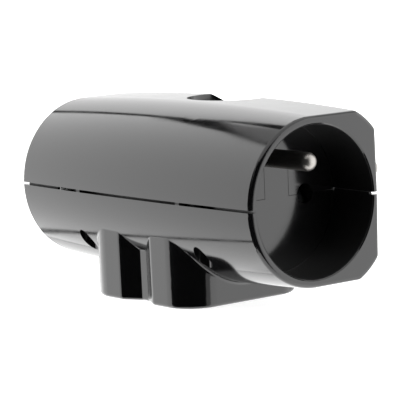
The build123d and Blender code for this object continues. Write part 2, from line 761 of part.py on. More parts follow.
def outlet_shutter():
    """Shutter of the right-hand flat socket: two ramps that the pins push towards the middle."""
    inner_x = outlet_shutter_inner_x
    outer_x = inner_x + outlet_shutter_width
    low, high = outlet_shutter_bottom_z, outlet_shutter_top_z
    toe = outlet_shutter_toe
    profile = [(inner_x, low), (inner_x + toe, low), (outer_x, high - toe), (outer_x, high), (inner_x, high)]
    side = Plane.XZ * make_face(Polyline(*profile, close=True))
    shutter = extrude(side, outlet_shutter_half_span, both=True)
    half = outlet_shutter_bridge_half
    shutter -= box_between((0, -half, 0), (beyond, half, beyond))
    bridge_top = low + outlet_shutter_bridge_height
    shutter += box_between((inner_x, -half, low), (outer_x, half, bridge_top))
    radius = outlet_spring_radius + outlet_spring_wire + spring_clearance
    z = outlet_spring_z()
    return shutter - rod(radius, (inner_x - wall, 0, z), (inner_x + outlet_spring_pocket, 0, z))


def outlet_spring_z():
    """Height of the axis of a flat socket's shutter spring."""
    return outlet_shutter_bottom_z + outlet_shutter_bridge_height / 2


def coil_spring(radius, wire, length, turns):
    """Compression spring along Z from the origin, wound from round wire."""
    rise = length - 2 * wire
    coil = Helix(pitch=rise / turns, height=rise, radius=radius)
    section = Plane(origin=coil @ 0, z_dir=coil % 0) * RegularPolygon(wire, 6)
    return Pos(0, 0, wire) * sweep(section, path=coil, is_frenet=True)


def end_spring():
    """Return spring under the right-hand round socket's shutter."""
    length = end_spring_top() - end_spring_seat_z
    spring = coil_spring(end_spring_radius, end_spring_wire, length, end_spring_turns)
    return Pos(shutter_mid_x, 0, end_spring_seat_z) * spring


def outlet_spring():
    """Return spring between the middle rib and the right-hand flat socket's shutter."""
    end_x = outlet_shutter_inner_x + outlet_spring_pocket
    length = end_x - centre_rib_half
    spring = coil_spring(outlet_spring_radius, outlet_spring_wire, length, outlet_spring_turns)
    return Plane(origin=(centre_rib_half, 0, outlet_spring_z()), z_dir=(1, 0, 0)) * spring


def end_keeper():
    """Plate behind a round socket's shutter, with holes for the pins and a stop for the shutter."""
    low_z, high_z = seam_z - keeper_drop, seam_z + keeper_rise
    half = keeper_half_width
    plate = box_between((keeper_back_x, -half, low_z), (keeper_front_x, half, high_z))
    stop_z = seam_z + shutter_rise + fit_gap
    stop_x = keeper_front_x + keeper_stop_length
    for side in (-1, 1):
        y = side * pin_y
        plate -= rod(pin_radius + keeper_hole_extra, (0, y, seam_z), (beyond, y, seam_z))
        low_y, high_y = sorted((side * (shutter_bridge_half + fit_gap), side * (shutter_half_span - fit_gap)))
        plate += box_between((keeper_back_x, low_y, stop_z), (stop_x, high_y, stop_z + keeper_stop_height))
    return plate


def outlet_keeper():
    """Plate over both flat sockets' shutters, with holes for the pins."""
    half_x = outlet_shutter_inner_x + outlet_shutter_width + fit_gap + rail_thickness
    half_y = outlet_shutter_half_span + seat_gap + rail_thickness
    top_z = outlet_keeper_z + outlet_keeper_thickness
    plate = box_between((-half_x, -half_y, outlet_keeper_z), (half_x, half_y, top_z))
    for side in (-1, 1):
        y = side * outlet_pin_y
        for hole in at_outlets(rod(outlet_pin_radius + keeper_hole_extra, (0, y, 0), (0, y, beyond))):
            plate -= hole
    return plate


def case_screws():
    """Four cross-recess screws that hold the shells together."""
    seat_z = seam_z - screw_seat_drop
    x, y = screw_x, screw_y
    screw = rod(screw_head_radius, (x, y, seat_z - screw_head_height), (x, y, seat_z))
    screw += rod(screw_shank_radius, (x, y, seat_z), (x, y, seam_z + screw_rise))
    half = screw_slot_width / 2
    slot_top = seat_z - screw_head_height + screw_slot_depth
    screw -= box_between((x - half, y - wall, 0), (x + half, y + wall, slot_top))
    screw -= box_between((x - wall, y - half, 0), (x + wall, y + half, slot_top))
    return Compound(children=four_ways(screw))


def all_parts():
    """Every piece of the adapter by name."""
    outside, inside = outer_body(), inner_space()
    front_contact, front_outlet = end_contact(), outlet_contact(False)
    shutter, flat_shutter = end_shutter(), outlet_shutter()
    return {
        "lower_shell": lower_shell(outside, inside),
        "upper_shell": upper_shell(outside, inside),
        "plug_body": plug_body(),
        "live_pin": plug_pin(-pin_y, link_y - strip / 2),
        "neutral_pin": plug_pin(pin_y, bar_inner_y - strip),
        "plug_earth_socket": plug_earth_socket(),
        "earth_bar": earth_bar(),
        "right_earth_pin": earth_pin(),
        "left_earth_pin": left_of(earth_pin()),
        "live_bar": contact_bar(rivet_places() + [link_rivet_x()]),
        "neutral_bar": rear_of(contact_bar(rivet_places())),
        "live_link": live_link(),
        "right_live_contact": front_contact,
        "left_live_contact": left_of(front_contact),
        "right_neutral_contact": rear_of(front_contact),
        "left_neutral_contact": opposite_of(front_contact),
        "right_outlet_live_contact": front_outlet,
        "left_outlet_live_contact": left_of(front_outlet),
        "right_outlet_neutral_contact": rear_of(outlet_contact(True)),
        "left_outlet_neutral_contact": opposite_of(front_outlet),
        "contact_rivets": contact_rivets(),
        "right_shutter": shutter,
        "left_shutter": left_of(shutter),
        "right_outlet_shutter": flat_shutter,
        "left_outlet_shutter": left_of(flat_shutter),
        "right_shutter_spring": end_spring(),
        "left_shutter_spring": left_of(end_spring()),
        "right_outlet_spring": outlet_spring(),
        "left_outlet_spring": left_of(outlet_spring()),
        "right_keeper": end_keeper(),
        "left_keeper": left_of(end_keeper()),
        "outlet_keeper": outlet_keeper(),
        "case_screws": case_screws(),
    }


os.makedirs("parts", exist_ok=True)
for name, shape in all_parts().items():
    export_step(shape, f"parts/{name}.step")
    print(name, round(shape.volume, 1))
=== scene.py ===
"""Looks and studio for the four-way plug adapter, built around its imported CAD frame. Sizes are metres."""

import math

import bpy
from mathutils import Matrix, Vector


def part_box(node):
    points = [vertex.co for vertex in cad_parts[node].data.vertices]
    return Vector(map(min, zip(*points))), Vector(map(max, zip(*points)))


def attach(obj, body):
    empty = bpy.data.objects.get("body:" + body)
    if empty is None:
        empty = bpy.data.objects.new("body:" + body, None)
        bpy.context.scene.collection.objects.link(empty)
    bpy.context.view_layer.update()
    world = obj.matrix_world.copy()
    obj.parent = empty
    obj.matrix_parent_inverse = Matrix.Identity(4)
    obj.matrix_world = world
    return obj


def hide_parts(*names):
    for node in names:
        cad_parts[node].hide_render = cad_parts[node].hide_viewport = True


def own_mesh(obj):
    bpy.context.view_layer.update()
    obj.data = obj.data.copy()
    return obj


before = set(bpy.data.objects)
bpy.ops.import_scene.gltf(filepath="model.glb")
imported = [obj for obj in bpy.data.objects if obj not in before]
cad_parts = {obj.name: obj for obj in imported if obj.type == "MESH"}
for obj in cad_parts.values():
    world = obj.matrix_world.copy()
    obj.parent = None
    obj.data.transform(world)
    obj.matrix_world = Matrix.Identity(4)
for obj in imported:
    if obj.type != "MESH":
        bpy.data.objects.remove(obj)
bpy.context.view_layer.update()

bl_info = {
    "name": "Plug adapter looks",
    "version": (1, 0, 0),
    "blender": (4, 5, 0),
    "location": "View3D > Sidebar > Adapter",
    "description": "Finishes, springs and studio of a four-way plug adapter",
    "category": "Object",
}

SIDES = ("right", "left")
MM = 0.001

# The barrel lies along X, and the upper shell gives its radius and half its length. Its crown is how far its
# middle stands out past its ends.
SHELL_LOW, SHELL_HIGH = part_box("upper_shell")
SEAM_HEIGHT = SHELL_LOW.z
SEAM_GAP = 0.7 * MM
BARREL_RADIUS = SHELL_HIGH.z - SEAM_HEIGHT
BARREL_HALF = SHELL_HIGH.x
CROWN = 1.45 * MM
CROWN_BEND = 2 * CROWN / BARREL_HALF ** 2
RIM_REACH = 1.3 * MM
WELL_RADIUS = 19.5 * MM
WELL_DEPTH = 15 * MM
WELL_FLOOR = BARREL_HALF - WELL_DEPTH
# How far a point of the faceted barrel or of a well's wall may lie from the true surface.
SKIN_SLACK = 0.03 * MM
WALL_SLACK = 0.1 * MM

# Wire radii of the springs, and the pitch of their closed end turns in wire radii.
END_WIRE = 0.22 * MM
OUTLET_WIRE = 0.18 * MM
CLOSED_PITCH = 2.1

# The range that noise seldom leaves, the sizes and depths of the finishes' patterns, and the least and
# most that the haze multiplies the shells' roughness by.
NOISE_RANGE = {"From Min": 0.3, "From Max": 0.7}
HAZE_SIZE, HAZE_LEAST, HAZE_MOST = 7 * MM, 0.85, 1.3
WAVE_SIZE, WAVE_DEPTH = 6 * MM, 0.0018 * MM
GRAIN_SIZE, GRAIN_DEPTH = 0.35 * MM, 0.02 * MM
POLYAMIDE_IOR = 1.53

# Width of the camera's frame in millimetres, and how near and far it sees.
CAMERA_FRAME = 36
CAMERA_NEAR, CAMERA_FAR = 0.01, 20
FLOOR_RADIUS, FLOOR_DROP = 4.0, 0.02 * MM
# Watts to a square metre of lamp, for each unit of its brightness.
LAMP_POWER = 4
LAMP_DISTANCE = 2.4

# The tent, its open top and foot in degrees, and the directions that its windows face, as ways round from
# the front. The windows are cut by blocks that reach between two shares of its radius.
TENT_RADIUS, TENT_CLOTH = 2.2, 4 * MM
TENT_TOP, TENT_FOOT = 49, -50
CUT_FROM, CUT_TO = 0.3, 1.6
FRONT, BACK, RIGHT, WALL = -67, -130, 125, 180
# A window: the direction that it is cut square to, the ways round of its left and right edges, the height of
# its lower edge, and the heights of its upper edge at the left and at the right, all in degrees.
WINDOWS = (
    (FRONT, -104, -91.2, -33.9, 43.7, 47.4),
    (FRONT, -91.3, -30, -33.9, 47.4, 47.6),
    (FRONT, -125, -38, -50, -35.2, -35.2),
    (BACK, -130, -100, -53, -10, -10),
    (FRONT, -109, 4, 48.9, 64, 64),
    (BACK, -200, -107, -53, 41, 41),
    (WALL, 146, 214, -56, 56, 56),
    (RIGHT, 89, 161, -53, 53, 53),
)
# What stands behind the windows has one height for its whole upper edge. A lamp also has its share of the
# softboxes' brightness.
LAMPS = (
    ("left_softbox", (FRONT, -105.5, -27, -34.5, 48.4), 1.0),
    ("table_softbox", (FRONT, -104.5, -36, -52, -34.6), 1.0),
    ("right_softbox", (RIGHT, 104, 164, -47, 47), 1.0),
)
CARD = (BACK, -198, -105.6, -45, 45)
# The card's glow is painted light, the sum of two ramps over its height: one grows upwards and one
# downwards, as lamps above and below would light it.
CARD_GLOWS = (
    {"From Min": 0.12, "From Max": 1.62, "To Min": 1.25, "To Max": 2.3},
    {"From Min": -0.12, "From Max": -1.9, "To Min": 0.0, "To Max": 0.82},
)
# Lamps that face the tent's open top and foot: height, width and share of the softboxes' brightness.
LEVEL_LAMPS = (("top_softbox", LAMP_DISTANCE, 4.2, 0.35), ("foot_softbox", -LAMP_DISTANCE, 4.4, 0.9))


# Settings


class FinishSettings(bpy.types.PropertyGroup):
    """Colours and gloss of the adapter's surfaces."""

    shell_colour: bpy.props.StringProperty(
        name="Shell colour", description="Hex colour of the moulded shells", default="0B0B0C"
    )
    shell_gloss: bpy.props.FloatProperty(
        name="Shell roughness", description="Roughness of the polished mould's surface",
        default=0.10, min=0.0, max=1.0, subtype="FACTOR",
    )
    matt_roughness: bpy.props.FloatProperty(
        name="Matt roughness", description="Roughness of the ledge behind the seam and of the wells' walls",
        default=0.5, min=0.0, max=1.0, subtype="FACTOR",
    )
    shell_ior: bpy.props.FloatProperty(
        name="Shell IOR", description="Refractive index of the shells' plastic",
        default=1.5, min=1.0, max=2.0,
    )
    shutter_colour: bpy.props.StringProperty(
        name="Shutter colour", description="Hex colour of the shutters and their plates", default="242527"
    )
    nickel_colour: bpy.props.StringProperty(
        name="Pin colour", description="Hex colour of the plated pins", default="9C9995"
    )
    brass_colour: bpy.props.StringProperty(
        name="Brass colour", description="Hex colour of the rolled brass strip", default="D6AF63"
    )
    zinc_colour: bpy.props.StringProperty(
        name="Screw colour", description="Hex colour of the zinc plated screws", default="BFC2C6"
    )
    wire_colour: bpy.props.StringProperty(
        name="Spring colour", description="Hex colour of the spring wire", default="9C9EA1"
    )


class SpringSettings(bpy.types.PropertyGroup):
    """Sizes of the shutters' return springs."""

    end_turns: bpy.props.IntProperty(
        name="End spring turns", description="Turns of a round socket's spring", default=8, min=3
    )
    outlet_turns: bpy.props.IntProperty(
        name="Outlet spring turns", description="Turns of a flat outlet's spring", default=8, min=3
    )
    end_travel: bpy.props.FloatProperty(
        name="End shutter travel", description="How far a round socket's shutter moves", default=0.0066,
        unit="LENGTH", subtype="DISTANCE",
    )
    outlet_travel: bpy.props.FloatProperty(
        name="Outlet shutter travel", description="How far a flat outlet's shutter moves", default=0.0054,
        unit="LENGTH", subtype="DISTANCE",
    )
    steps: bpy.props.IntProperty(
        name="Steps", description="Straight pieces in one turn of wire", default=28, min=8
    )


class StudioSettings(bpy.types.PropertyGroup):
    """Camera, lamps and background."""

    lens: bpy.props.FloatProperty(
        name="Lens", description="Focal length on a 36 mm frame, in millimetres", default=216.09, min=1.0
    )
    place: bpy.props.FloatVectorProperty(
        name="Camera place", description="Where the camera stands", default=(0.489875, -0.395320, 0.110637),
        unit="LENGTH", subtype="TRANSLATION",
    )
    azimuth: bpy.props.FloatProperty(
        name="Azimuth", description="Way round from the front to the right", default=math.radians(50.97),
        subtype="ANGLE",
    )
    elevation: bpy.props.FloatProperty(
        name="Elevation", description="Height of the view above the horizon", default=math.radians(7.784),
        subtype="ANGLE",
    )
    roll: bpy.props.FloatProperty(
        name="Roll", description="Turn of the camera about its view", default=math.radians(-2.203),
        subtype="ANGLE",
    )
    softbox: bpy.props.FloatProperty(
        name="Softbox brightness", description="Brightness of the softboxes", default=1.42, min=0.0
    )
    ambient: bpy.props.FloatProperty(
        name="Ambient", description="Strength of the light from all round on matt surfaces",
        default=0.4, min=0.0,
    )
    floor_glow: bpy.props.FloatProperty(
        name="Floor glow", description="Brightness that the floor has in its shadows", default=0.9, min=0.0
    )


# Shader helpers


def colour(hex_code):
    """Linear colour of an sRGB hex value."""
    parts = [int(hex_code[i:i + 2], 16) / 255 for i in (0, 2, 4)]
    linear = [c / 12.92 if c <= 0.04045 else ((c + 0.055) / 1.055) ** 2.4 for c in parts]
    return (*linear, 1.0)


def add_node(tree, kind, inputs=None, links=None, **settings):
    """One node with its settings, its input values and its incoming links."""
    node = tree.nodes.new(kind)
    for name, value in settings.items():
        setattr(node, name, value)
    for socket, value in (inputs or {}).items():
        node.inputs[socket].default_value = value
    for socket, source in (links or {}).items():
        tree.links.new(source, node.inputs[socket])
    return node


def new_material(name):
    """Material with an empty node tree, and the place of a point on its object."""
    material = bpy.data.materials.new(name)
    material.use_nodes = True
    tree = material.node_tree
    tree.nodes.clear()
    return material, tree, add_node(tree, "ShaderNodeTexCoord").outputs["Object"]


def finish_material(tree, inputs, links):
    """Main shader and output of a material."""
    shader = add_node(tree, "ShaderNodeBsdfPrincipled", inputs, links)
    add_node(tree, "ShaderNodeOutputMaterial", links={"Surface": shader.outputs["BSDF"]})


# Finishes


def matt_places(tree, place):
    """1 on the ledge behind the seam's gap and on the wells' walls, and 0 elsewhere."""
    parts = add_node(tree, "ShaderNodeSeparateXYZ", links={0: place}).outputs
    from_axis = add_node(
        tree, "ShaderNodeVectorMath", {1: (0, 1, 1), 2: (0, 0, -SEAM_HEIGHT)}, {0: place},
        operation="MULTIPLY_ADD",
    ).outputs["Vector"]
    radius = add_node(
        tree, "ShaderNodeVectorMath", links={0: from_axis}, operation="LENGTH"
    ).outputs["Value"]
    along, aside = (
        add_node(tree, "ShaderNodeMath", links={0: parts[axis]}, operation="ABSOLUTE").outputs[0]
        for axis in "XY"
    )
    tests = (
        (parts["Z"], SEAM_HEIGHT, SEAM_GAP / 2, "COMPARE"),
        (aside, WELL_RADIUS - 2 * WALL_SLACK, 0, "GREATER_THAN"),
        (radius, WELL_RADIUS, WALL_SLACK, "COMPARE"),
        (along, WELL_FLOOR + WALL_SLACK, 0, "GREATER_THAN"),
    )
    in_gap, beside_well, on_wall, past_floor = (
        add_node(tree, "ShaderNodeMath", {1: value, 2: slack}, {0: source}, operation=test).outputs[0]
        for source, value, slack, test in tests
    )
    ledge, wall = (
        add_node(tree, "ShaderNodeMath", links={0: first, 1: second}, operation="MULTIPLY").outputs[0]
        for first, second in ((in_gap, beside_well), (on_wall, past_floor))
    )
    return add_node(tree, "ShaderNodeMath", links={0: ledge, 1: wall}, operation="MAXIMUM").outputs[0]


def barrel_skin(tree, parts, from_axis):
    """1 on the barrel's outside between its rounded rims, and 0 elsewhere."""
    radius = add_node(
        tree, "ShaderNodeVectorMath", links={0: from_axis}, operation="LENGTH"
    ).outputs["Value"]
    squared = add_node(tree, "ShaderNodeMath", {1: 2}, {0: parts["X"]}, operation="POWER").outputs[0]
    at_middle = add_node(
        tree, "ShaderNodeMath", {1: CROWN_BEND / 2}, {0: squared, 2: radius}, operation="MULTIPLY_ADD"
    ).outputs[0]
    outside = add_node(
        tree, "ShaderNodeMath", {1: BARREL_RADIUS, 2: SKIN_SLACK}, {0: at_middle}, operation="COMPARE"
    ).outputs[0]
    along = add_node(tree, "ShaderNodeMath", links={0: parts["X"]}, operation="ABSOLUTE").outputs[0]
    between_rims = add_node(
        tree, "ShaderNodeMath", {1: BARREL_HALF - RIM_REACH}, {0: along}, operation="LESS_THAN"
    ).outputs[0]
    return add_node(
        tree, "ShaderNodeMath", links={0: outside, 1: between_rims}, operation="MULTIPLY"
    ).outputs[0]


def barrel_normal(tree, place):
    """The barrel's true normal on its outside, and the mesh's own elsewhere.

    The mesh's normals are half a degree out there, which would make the edges of sharp reflections wavy.
    The barrel is half round in front of its axis, runs straight back behind it, and is crowned along it."""
    parts = add_node(tree, "ShaderNodeSeparateXYZ", links={0: place}).outputs
    front = add_node(tree, "ShaderNodeMath", {1: 0}, {0: parts["Y"]}, operation="MINIMUM").outputs[0]
    up = add_node(
        tree, "ShaderNodeMath", {1: SEAM_HEIGHT}, {0: parts["Z"]}, operation="SUBTRACT"
    ).outputs[0]
    from_axis = add_node(tree, "ShaderNodeCombineXYZ", links={"Y": front, "Z": up}).outputs[0]
    outward = add_node(
        tree, "ShaderNodeVectorMath", links={0: from_axis}, operation="NORMALIZE"
    ).outputs[0]
    crowned = add_node(
        tree, "ShaderNodeVectorMath", {1: (CROWN_BEND, 0, 0)}, {0: place, 2: outward},
        operation="MULTIPLY_ADD",
    ).outputs[0]
    normal = add_node(tree, "ShaderNodeVectorMath", links={0: crowned}, operation="NORMALIZE").outputs[0]
    turned = add_node(
        tree, "ShaderNodeVectorTransform", links={0: normal}, vector_type="NORMAL", convert_from="OBJECT",
        convert_to="WORLD",
    ).outputs[0]
    meshed = add_node(tree, "ShaderNodeNewGeometry").outputs["Normal"]
    return add_node(
        tree, "ShaderNodeMix", links={0: barrel_skin(tree, parts, from_axis), 4: meshed, 5: turned},
        data_type="VECTOR",
    ).outputs[1]


def glossy_moulded_abs(finish):
    """ABS from a polished mould: nearly black and mirror-like, with faint sink waves and a patchy haze.

    The ledge behind the seam's gap and the wells' walls are matt, and so show dark at a low angle."""
    material, tree, place = new_material("glossy_moulded_ABS")
    haze = add_node(tree, "ShaderNodeTexNoise", {"Scale": 1 / HAZE_SIZE, "Detail": 3.0}, {"Vector": place})
    gloss = {"To Min": finish.shell_gloss * HAZE_LEAST, "To Max": finish.shell_gloss * HAZE_MOST}
    polished = add_node(
        tree, "ShaderNodeMapRange", {**NOISE_RANGE, **gloss}, {"Value": haze.outputs["Fac"]}
    )
    rough = add_node(
        tree, "ShaderNodeMapRange", {"To Max": finish.matt_roughness},
        {"Value": matt_places(tree, place), "To Min": polished.outputs[0]},
    )
    tone = add_node(
        tree, "ShaderNodeMix", {6: colour(finish.shell_colour), 7: colour("0F0F10")},
        {0: haze.outputs["Fac"]}, data_type="RGBA",
    )
    # A thick moulding's skin sinks a few microns over its ribs, which bends the reflections slightly.
    waves = add_node(tree, "ShaderNodeTexNoise", {"Scale": 1 / WAVE_SIZE, "Detail": 1.0}, {"Vector": place})
    normal = add_node(
        tree, "ShaderNodeBump", {"Strength": 1.0, "Distance": WAVE_DEPTH},
        {"Height": waves.outputs["Fac"], "Normal": barrel_normal(tree, place)},
    )
    finish_material(
        tree, {"IOR": finish.shell_ior},
        {"Base Color": tone.outputs[2], "Roughness": rough.outputs[0], "Normal": normal.outputs[0]},
    )
    return material


def spark_eroded_polyamide(finish):
    """Polyamide from a spark eroded mould: dark grey, with a fine even grain and no clear reflections."""
    material, tree, place = new_material("spark_eroded_polyamide")
    grain = add_node(tree, "ShaderNodeTexNoise", {"Scale": 1 / GRAIN_SIZE, "Detail": 3.0}, {"Vector": place})
    rough = add_node(
        tree, "ShaderNodeMapRange", {**NOISE_RANGE, "To Min": 0.42, "To Max": 0.58},
        {"Value": grain.outputs["Fac"]},
    )
    tone = add_node(
        tree, "ShaderNodeMix", {6: colour(finish.shutter_colour), 7: colour("2E2F32")},
        {0: grain.outputs["Fac"]}, data_type="RGBA",
    )
    normal = add_node(
        tree, "ShaderNodeBump", {"Strength": 1.0, "Distance": GRAIN_DEPTH}, {"Height": grain.outputs["Fac"]}
    )
    finish_material(
        tree, {"IOR": POLYAMIDE_IOR},
        {"Base Color": tone.outputs[2], "Roughness": rough.outputs[0], "Normal": normal.outputs[0]},
    )
    return material


def metal(name, light, dark, mottle_size, line_size, stretch, roughness, depth):
    """Metal with mottled tone and fine lines of the making along the axis with the largest stretch."""
    material, tree, place = new_material(name)
    mottle = add_node(
        tree, "ShaderNodeTexNoise", {"Scale": 1 / mottle_size, "Detail": 4.0}, {"Vector": place}
    )
    tone = add_node(
        tree, "ShaderNodeMix", {6: colour(light), 7: colour(dark)}, {0: mottle.outputs["Fac"]},
        data_type="RGBA",
    )
    drawn = add_node(tree, "ShaderNodeMapping", {"Scale": [1 / s for s in stretch]}, {"Vector": place})
    lines = add_node(
        tree, "ShaderNodeTexNoise", {"Scale": 1 / line_size, "Detail": 2.0},
        {"Vector": drawn.outputs["Vector"]},
    )
    rough = add_node(
        tree, "ShaderNodeMapRange", {**NOISE_RANGE, "To Min": roughness[0], "To Max": roughness[1]},
        {"Value": lines.outputs["Fac"]},
    )
    normal = add_node(
        tree, "ShaderNodeBump", {"Strength": 1.0, "Distance": depth}, {"Height": lines.outputs["Fac"]}
    )
    finish_material(
        tree, {"Metallic": 1.0},
        {"Base Color": tone.outputs[2], "Roughness": rough.outputs[0], "Normal": normal.outputs[0]},
    )
    return material


def nickel_plated_brass(finish, stretch):
    """Drawn brass rod with satin nickel: neutral silver, with faint draw lines along the pin."""
    return metal(
        "nickel_plated_brass", finish.nickel_colour, "8A8784", mottle_size=3 * MM, line_size=0.3 * MM,
        stretch=stretch, roughness=(0.36, 0.46), depth=0.003 * MM,
    )


def rolled_brass_strip(finish):
    """Rolled and stamped brass strip: yellow, with rolling lines along the strip and slight tarnish."""
    return metal(
        "rolled_brass_strip", finish.brass_colour, "B5873F", mottle_size=4 * MM, line_size=0.25 * MM,
        stretch=(40, 1, 1), roughness=(0.24, 0.38), depth=0.004 * MM,
    )


def zinc_plated_steel(finish):
    """Cold-headed steel screw with bright zinc: pale blue-grey with a crystalline mottling."""
    return metal(
        "zinc_plated_steel", finish.zinc_colour, "A6ABB3", mottle_size=0.6 * MM, line_size=0.5 * MM,
        stretch=(1, 1, 1), roughness=(0.26, 0.42), depth=0.004 * MM,
    )


def drawn_spring_wire(finish):
    """Cold-drawn spring steel: dark grey wire with a soft oiled sheen."""
    return metal(
        "drawn_spring_wire", finish.wire_colour, "7E8083", mottle_size=0.4 * MM, line_size=0.2 * MM,
        stretch=(1, 1, 1), roughness=(0.24, 0.36), depth=0.001 * MM,
    )


def dress(names, material):
    """Gives the material to each of the named CAD nodes."""
    for name in names:
        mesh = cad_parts[name].data
        mesh.materials.clear()
        mesh.materials.append(material)


# Modelling helpers


def deselect():
    """Leaves object mode with nothing selected."""
    if bpy.context.mode != "OBJECT":
        bpy.ops.object.mode_set(mode="OBJECT")
    bpy.ops.object.select_all(action="DESELECT")


def active(name):
    """The object just made, renamed."""
    thing = bpy.context.active_object
    thing.name = name
    thing.data.name = name
    return thing


def settle(thing):
    """Puts the object's place into its mesh."""
    deselect()
    thing.select_set(True)
    bpy.context.view_layer.objects.active = thing
    bpy.ops.object.transform_apply(location=True, rotation=True, scale=True)
    return thing


def coil(name, radius, wire, length, turns, steps):
    """Compression spring along Z from the origin, with a closed turn at each end."""
    deselect()
    bpy.ops.mesh.primitive_circle_add(vertices=3, radius=wire, location=(radius, 0, 0), enter_editmode=True)
    bpy.ops.mesh.select_all(action="SELECT")
    bpy.ops.mesh.merge(type="CENTER")
    bpy.ops.object.mode_set(mode="OBJECT")
    spring = settle(active(name))
    screw = spring.modifiers.new("turns", "SCREW")
    screw.angle = 2 * math.pi * turns
    screw.screw_offset = 1.0
    screw.steps = screw.render_steps = steps * turns
    bpy.ops.object.modifier_apply(modifier=screw.name)
    ease_ends(spring, wire, length, turns)
    bpy.ops.object.convert(target="CURVE")
    spring.data.bevel_depth = wire
    spring.data.bevel_resolution = 3
    spring.data.use_fill_caps = True
    bpy.ops.object.convert(target="MESH")
    bpy.ops.object.shade_smooth()
    return spring


def ease_ends(spring, wire, length, turns):
    """Spaces the line of the wire so that its first and last turns lie closed.

    The line comes in with a height from 0 to 1, which tells how far along the wire a point is."""
    closed = CLOSED_PITCH * wire
    free = length - 2 * wire - 2 * closed
    for vertex in spring.data.vertices:
        turn = vertex.co.z * turns
        if turn < 1:
            height = closed * turn
        elif turn > turns - 1:
            height = length - 2 * wire - closed * (turns - turn)
        else:
            share = (turn - 1) / (turns - 2)
            height = closed + free * share
        vertex.co.z = wire + height


def spread(edges, distance):
    """Lower left and upper right corner, across and up, of what has these edges at this distance."""
    facing, left, right, low, high = edges
    across = [distance * math.tan(math.radians(angle - facing)) for angle in (left, right)]
    rise = [distance * math.tan(math.radians(angle)) for angle in (low, high)]
    return Vector((across[0], rise[0])), Vector((across[1], rise[1]))


def place_corner(vertex, edges, distance):
    """Moves a corner of a square or cube round the origin to the like corner of what has these edges."""
    low, high = spread(edges, distance)
    vertex.co = (high.x if vertex.co.x > 0 else low.x, high.y if vertex.co.y > 0 else low.y, distance)


def faced(edges):
    """Turn from across, up and away to the window's place round the adapter."""
    around = math.radians(edges[0])
    away = Vector((math.sin(around), -math.cos(around), 0))
    across = Vector((0, 0, 1)).cross(away)
    return Matrix((across, (0, 0, 1), away)).transposed().to_4x4()


# Operators


class ADAPTER_OT_shells(bpy.types.Operator):
    """Finish of the two shells and the plug's body."""

    bl_idname = "adapter.shells"
    bl_label = "Shells"

    def execute(self, context):
        finish = context.scene.adapter_finish
        dress(("lower_shell", "upper_shell", "plug_body"), glossy_moulded_abs(finish))
        return {"FINISHED"}


class ADAPTER_OT_pins(bpy.types.Operator):
    """Finish of the plug's pins and the earth pins."""

    bl_idname = "adapter.pins"
    bl_label = "Pins"

    def execute(self, context):
        finish = context.scene.adapter_finish
        dress(("live_pin", "neutral_pin"), nickel_plated_brass(finish, stretch=(1, 30, 1)))
        dress(("right_earth_pin", "left_earth_pin"), nickel_plated_brass(finish, stretch=(30, 1, 1)))
        return {"FINISHED"}


class ADAPTER_OT_contacts(bpy.types.Operator):
    """Finish of the bars, contacts, link, rivets and the plug's earth socket."""

    bl_idname = "adapter.contacts"
    bl_label = "Contacts"

    def execute(self, context):
        names = ["live_bar", "neutral_bar", "live_link", "earth_bar", "plug_earth_socket", "contact_rivets"]
        kinds = ("live_contact", "neutral_contact", "outlet_live_contact", "outlet_neutral_contact")
        names += [f"{side}_{kind}" for side in SIDES for kind in kinds]
        dress(names, rolled_brass_strip(context.scene.adapter_finish))
        return {"FINISHED"}


class ADAPTER_OT_shutters(bpy.types.Operator):
    """Finish of the shutters and the plates behind them."""

    bl_idname = "adapter.shutters"
    bl_label = "Shutters"

    def execute(self, context):
        names = [f"{side}_{kind}" for side in SIDES for kind in ("shutter", "outlet_shutter", "keeper")]
        dress(names + ["outlet_keeper"], spark_eroded_polyamide(context.scene.adapter_finish))
        return {"FINISHED"}


class ADAPTER_OT_springs(bpy.types.Operator):
    """Wound return springs that move with the shutters."""

    bl_idname = "adapter.springs"
    bl_label = "Springs"

    def execute(self, context):
        settings = context.scene.adapter_springs
        material = drawn_spring_wire(context.scene.adapter_finish)
        for side in SIDES:
            self.end_spring(side, settings, material)
            self.outlet_spring(side, settings, material)
        dress([f"{side}_{kind}" for side in SIDES for kind in ("shutter_spring", "outlet_spring")], material)
        return {"FINISHED"}

    def end_spring(self, side, settings, material):
        """Upright spring under a round socket's shutter."""
        node = f"{side}_shutter_spring"
        low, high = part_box(node)
        length = high.z - low.z
        radius = (high.y - low.y) / 2 - END_WIRE
        turns = settings.end_turns
        spring = coil(f"{side}_end_coil", radius, END_WIRE, length, turns, settings.steps)
        spring.location = ((low.x + high.x) / 2, 0, low.z)
        self.seat(spring, node, f"{side}_shutter", material)
        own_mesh(spring)

    def outlet_spring(self, side, settings, material):
        """Lying spring behind a flat outlet's shutter."""
        node = f"{side}_outlet_spring"
        low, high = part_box(node)
        length = high.x - low.x
        radius = (high.y - low.y) / 2 - OUTLET_WIRE
        turns = settings.outlet_turns
        spring = coil(f"{side}_outlet_coil", radius, OUTLET_WIRE, length, turns, settings.steps)
        spring.rotation_euler = (0, math.pi / 2, 0)
        spring.location = (low.x, 0, (low.z + high.z) / 2)
        self.seat(spring, node, f"{side}_outlet_shutter", material)
        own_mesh(spring)

    def seat(self, spring, node, body, material):
        """Puts a spring in the place of its CAD node, to move with the shutter."""
        settle(spring)
        spring.data.materials.append(material)
        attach(spring, body)
        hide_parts(node)


class ADAPTER_OT_screws(bpy.types.Operator):
    """Finish of the case screws."""

    bl_idname = "adapter.screws"
    bl_label = "Screws"

    def execute(self, context):
        dress(("case_screws",), zinc_plated_steel(context.scene.adapter_finish))
        return {"FINISHED"}


